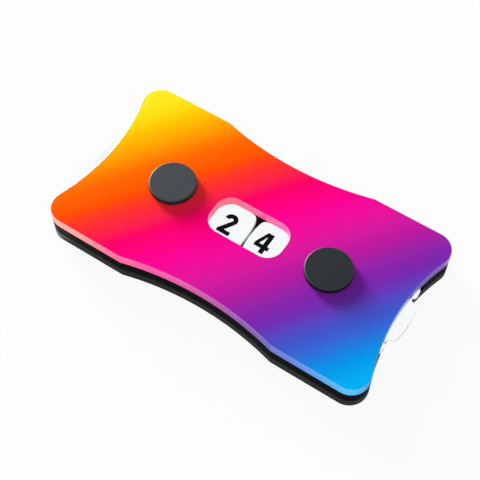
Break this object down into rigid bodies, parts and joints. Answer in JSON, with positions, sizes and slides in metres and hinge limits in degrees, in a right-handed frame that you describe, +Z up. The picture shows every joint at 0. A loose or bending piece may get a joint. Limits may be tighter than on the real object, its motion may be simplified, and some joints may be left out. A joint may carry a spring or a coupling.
{
  "type": "life counter",
  "caption": "Flat hand-held life counter: printed cover with a window over two numbered thumb dials, each turned by a knob or its lobed edge.",
  "frame": {"origin": "centre of the base plate's underside, which is the bottom centre of the whole part", "axes": "+X along the case, from the tens dial to the ones dial; +Y away from the reader, towards the tops of the digits; +Z up through the cover"},
  "size_m": [0.092, 0.0494, 0.0108],
  "materials": {
    "printed_acrylic": "acrylic sheet with a printed yellow, orange, pink, violet and blue gradient, polished edges",
    "white_acrylic": "white sheet with black filled digits",
    "black_acrylic": "black sheet, laser-cut edge",
    "charcoal_acrylic": "charcoal sheet, satin, broken edges",
    "charcoal_plastic": "moulded matte",
    "adhesive_film": "double-sided bonding film",
    "brass": "machined",
    "steel": "zinc-plated",
    "acetal": "natural white, moulded"
  },
  "bodies": {
    "case": {"base_plate": "charcoal_acrylic", "spacer_rail_far": "black_acrylic", "spacer_rail_near": "black_acrylic", "bond_film_far": "adhesive_film", "bond_film_near": "adhesive_film", "cover_plate": "printed_acrylic", "tens_cover_bush": "acetal", "tens_base_bush": "acetal", "tens_wave_washer": "steel", "ones_cover_bush": "acetal", "ones_base_bush": "acetal", "ones_wave_washer": "steel", "case_screw_far_left": "steel", "insert_far_left": "brass", "case_screw_far_middle": "steel", "insert_far_middle": "brass", "case_screw_far_right": "steel", "insert_far_right": "brass", "case_screw_near_left": "steel", "insert_near_left": "brass", "case_screw_near_middle": "steel", "insert_near_middle": "brass", "case_screw_near_right": "steel", "insert_near_right": "brass"},
    "tens": {"tens_dial": "white_acrylic", "tens_knob": "charcoal_plastic", "tens_stem": "steel", "tens_stem_washer": "steel", "tens_stem_screw": "steel"},
    "ones": {"ones_dial": "white_acrylic", "ones_knob": "charcoal_plastic", "ones_stem": "steel", "ones_stem_washer": "steel", "ones_stem_screw": "steel"}
  },
  "joints": [
    {"name": "tens_dial_turn", "type": "hinge", "parent": "case", "child": "tens", "pos_m": [-0.0231, 0, 0.00475], "axis": [0, 0, 1], "continuous": true},
    {"name": "ones_dial_turn", "type": "hinge", "parent": "case", "child": "ones", "pos_m": [0.0231, 0, 0.00475], "axis": [0, 0, 1], "continuous": true}
  ]
}
